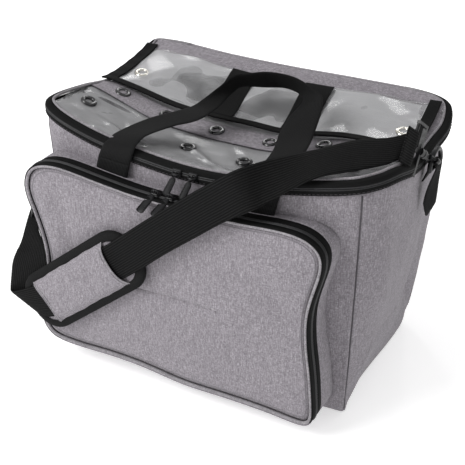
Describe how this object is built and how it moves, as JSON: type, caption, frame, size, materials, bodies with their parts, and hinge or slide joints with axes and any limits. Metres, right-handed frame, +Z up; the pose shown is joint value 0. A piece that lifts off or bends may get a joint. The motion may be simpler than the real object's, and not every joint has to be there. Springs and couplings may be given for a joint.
{
  "type": "knitting bag",
  "caption": "soft-sided zip-top knitting bag with a clear lid, yarn grommets, a clear needle flap, a zipped front pocket, carry handles and a padded shoulder strap",
  "frame": {"origin": "middle of the base, on the surface the bag stands on", "axes": "+X to the bag's right seen from the front, +Y to the back, +Z up"},
  "size_m": [0.4347, 0.3167, 0.3203],
  "materials": {
    "heather_fabric": "heathered woven polyester over foam",
    "zipper_tape": "woven zipper tape with a moulded coil",
    "binding_tape": "woven binding tape",
    "webbing": "ribbed polypropylene webbing",
    "piping": "fabric-covered piping cord",
    "clear_vinyl": "clear flexible vinyl",
    "lining_fabric": "plain lining",
    "board": "stiff base board",
    "eyelet_metal": "bright",
    "grommet": "gloss black",
    "adjuster_plastic": "satin",
    "black_metal": "black enamel, semi-gloss"
  },
  "bodies": {
    "bag": {"bottom_panel": "heather_fabric", "base_board": "board", "front_panel": "heather_fabric", "back_panel": "heather_fabric", "left_side_panel": "heather_fabric", "right_side_panel": "heather_fabric", "lining": "lining_fabric", "body_zipper_half": "zipper_tape", "hinge_strip": "heather_fabric", "front_handle_anchors": "webbing", "back_handle_anchors": "webbing", "left_ring_tab": "webbing", "right_ring_tab": "webbing", "left_side_pocket": "heather_fabric", "pocket_gusset": "heather_fabric", "pocket_outer_zipper_half": "zipper_tape"},
    "lid": {"lid_binding": "binding_tape", "lid_zipper_half": "zipper_tape", "lid_piping": "piping", "lid_front_window": "clear_vinyl", "lid_rear_window": "clear_vinyl", "lid_rear_frame": "heather_fabric", "grommet_strip": "heather_fabric", "yarn_grommets": "grommet"},
    "needle_flap": {"flap_backing": "clear_vinyl", "flap_window": "clear_vinyl", "flap_binding": "binding_tape", "flap_divider_bands": "binding_tape", "flap_eyelets": "eyelet_metal"},
    "pocket_front": {"pocket_face": "heather_fabric", "pocket_inner_zipper_half": "zipper_tape", "pocket_piping": "piping"},
    "front_handle_loop": {"front_handle": "webbing"},
    "back_handle_loop": {"back_handle": "webbing"},
    "strap": {"shoulder_strap": "webbing", "right_strap_eye": "black_metal"},
    "pad": {"shoulder_pad": "heather_fabric", "pad_sleeve": "heather_fabric", "pad_binding": "binding_tape"},
    "adjuster": {"strap_adjuster": "adjuster_plastic"},
    "right_ring_body": {"right_ring": "black_metal"},
    "left_ring_body": {"left_ring": "black_metal"},
    "right_hook": {"right_snap_hook": "black_metal"},
    "left_hook": {"left_snap_hook": "black_metal"},
    "right_gate": {"right_hook_gate": "black_metal"},
    "left_gate": {"left_hook_gate": "black_metal"},
    "left_eye": {"left_strap_eye": "black_metal"},
    "lid_slider_l": {"lid_slider_left": "black_metal"},
    "lid_slider_r": {"lid_slider_right": "black_metal"},
    "lid_pull_l": {"lid_pull_left": "black_metal"},
    "lid_pull_r": {"lid_pull_right": "black_metal"},
    "pocket_slider_l": {"pocket_slider_left": "black_metal"},
    "pocket_slider_r": {"pocket_slider_right": "black_metal"},
    "pocket_pull_l": {"pocket_pull_left": "black_metal"},
    "pocket_pull_r": {"pocket_pull_right": "black_metal"}
  },
  "joints": [
    {"name": "lid_open", "type": "hinge", "parent": "bag", "child": "lid", "pos_m": [0, 0.1172, 0.27602], "axis": [-1, 0, 0], "range_deg": [0, 115]},
    {"name": "flap_open", "type": "hinge", "parent": "lid", "child": "needle_flap", "pos_m": [0, 0.08796, 0.28624], "axis": [-1, 0, 0], "range_deg": [0, 120]},
    {"name": "pocket_open", "type": "hinge", "parent": "bag", "child": "pocket_front", "pos_m": [0, -0.1442, 0.007], "axis": [1, 0, 0], "range_deg": [0, 85]},
    {"name": "front_handle_swing", "type": "hinge", "parent": "bag", "child": "front_handle_loop", "pos_m": [0, -0.1215, 0.2465], "axis": [1, 0, 0], "range_deg": [0, 125], "deforming": ["front_handle"]},
    {"name": "back_handle_swing", "type": "hinge", "parent": "bag", "child": "back_handle_loop", "pos_m": [0, 0.12, 0.2545], "axis": [1, 0, 0], "range_deg": [0, 236], "deforming": ["back_handle"]},
    {"name": "strap_raise", "type": "hinge", "parent": "bag", "child": "strap", "pos_m": [0, 0.014, 0.253], "axis": [-1, 0, 0], "range_deg": [0, 100], "deforming": ["shoulder_strap"]},
    {"name": "pad_slide", "type": "slide", "parent": "strap", "child": "pad", "axis": [0.766, 0, 0.6428], "range_m": [0, 0.09], "deforming": ["shoulder_pad", "pad_sleeve", "pad_binding"]},
    {"name": "adjuster_slide", "type": "slide", "parent": "strap", "child": "adjuster", "axis": [-0.0551, 0.8467, 0.5293], "range_m": [-0.006, 0.006]},
    {"name": "right_hook_swivel", "type": "hinge", "parent": "strap", "child": "right_hook", "pos_m": [0.20581, 0.0006, 0.26347], "axis": [-0.1908, -0.7735, 0.6043], "range_deg": [-12, 1]},
    {"name": "right_gate_open", "type": "hinge", "parent": "right_hook", "child": "right_gate", "pos_m": [0.20767, -0.00835, 0.27046], "axis": [0, 0.6157, 0.788], "range_deg": [0, 35], "stiffness_Nm_per_rad": 0.02, "springref_deg": -17.19},
    {"name": "right_ring_turn", "type": "hinge", "parent": "bag", "child": "right_ring_body", "pos_m": [0.20581, 0.014, 0.253], "axis": [0, 1, 0], "range_deg": [-3, 3]},
    {"name": "left_ring_turn", "type": "hinge", "parent": "bag", "child": "left_ring_body", "pos_m": [-0.20581, 0.014, 0.253], "axis": [0, 1, 0], "range_deg": [-6, 6]},
    {"name": "left_hook_rock", "type": "hinge", "parent": "left_ring_body", "child": "left_hook", "pos_m": [-0.20581, 0.00098, 0.24207], "axis": [0, 0.6428, -0.766], "range_deg": [-5, 10]},
    {"name": "left_eye_swivel", "type": "hinge", "parent": "left_hook", "child": "left_eye", "pos_m": [-0.20581, 0.00098, 0.24207], "axis": [0, -0.766, -0.6428], "range_deg": [-6, 15]},
    {"name": "left_gate_open", "type": "hinge", "parent": "left_hook", "child": "left_gate", "pos_m": [-0.20981, -0.0073, 0.23513], "axis": [0, 0.6428, -0.766], "range_deg": [0, 35], "stiffness_Nm_per_rad": 0.02, "springref_deg": -17.19},
    {"name": "lid_slider_left_run", "type": "slide", "parent": "bag", "child": "lid_slider_l", "axis": [-1, 0, 0], "range_m": [0, 0.118]},
    {"name": "lid_slider_right_run", "type": "slide", "parent": "bag", "child": "lid_slider_r", "axis": [1, 0, 0], "range_m": [0, 0.118]},
    {"name": "pocket_slider_left_run", "type": "slide", "parent": "bag", "child": "pocket_slider_l", "axis": [-1, 0, 0], "range_m": [0, 0.1]},
    {"name": "pocket_slider_right_run", "type": "slide", "parent": "bag", "child": "pocket_slider_r", "axis": [1, 0, 0], "range_m": [0, 0.13]},
    {"name": "lid_pull_left_swing", "type": "hinge", "parent": "lid_slider_l", "child": "lid_pull_l", "pos_m": [-0.009, -0.1251, 0.25754], "axis": [-1, 0, 0], "range_deg": [0, 110]},
    {"name": "lid_pull_right_swing", "type": "hinge", "parent": "lid_slider_r", "child": "lid_pull_r", "pos_m": [0.009, -0.1251, 0.25754], "axis": [-1, 0, 0], "range_deg": [0, 110]},
    {"name": "pocket_pull_left_swing", "type": "hinge", "parent": "pocket_slider_l", "child": "pocket_pull_l", "pos_m": [-0.036, -0.1431, 0.2421], "axis": [-1, 0, 0], "range_deg": [0, 85]},
    {"name": "pocket_pull_right_swing", "type": "hinge", "parent": "pocket_slider_r", "child": "pocket_pull_r", "pos_m": [-0.019, -0.1431, 0.2421], "axis": [-1, 0, 0], "range_deg": [0, 85]}
  ]
}
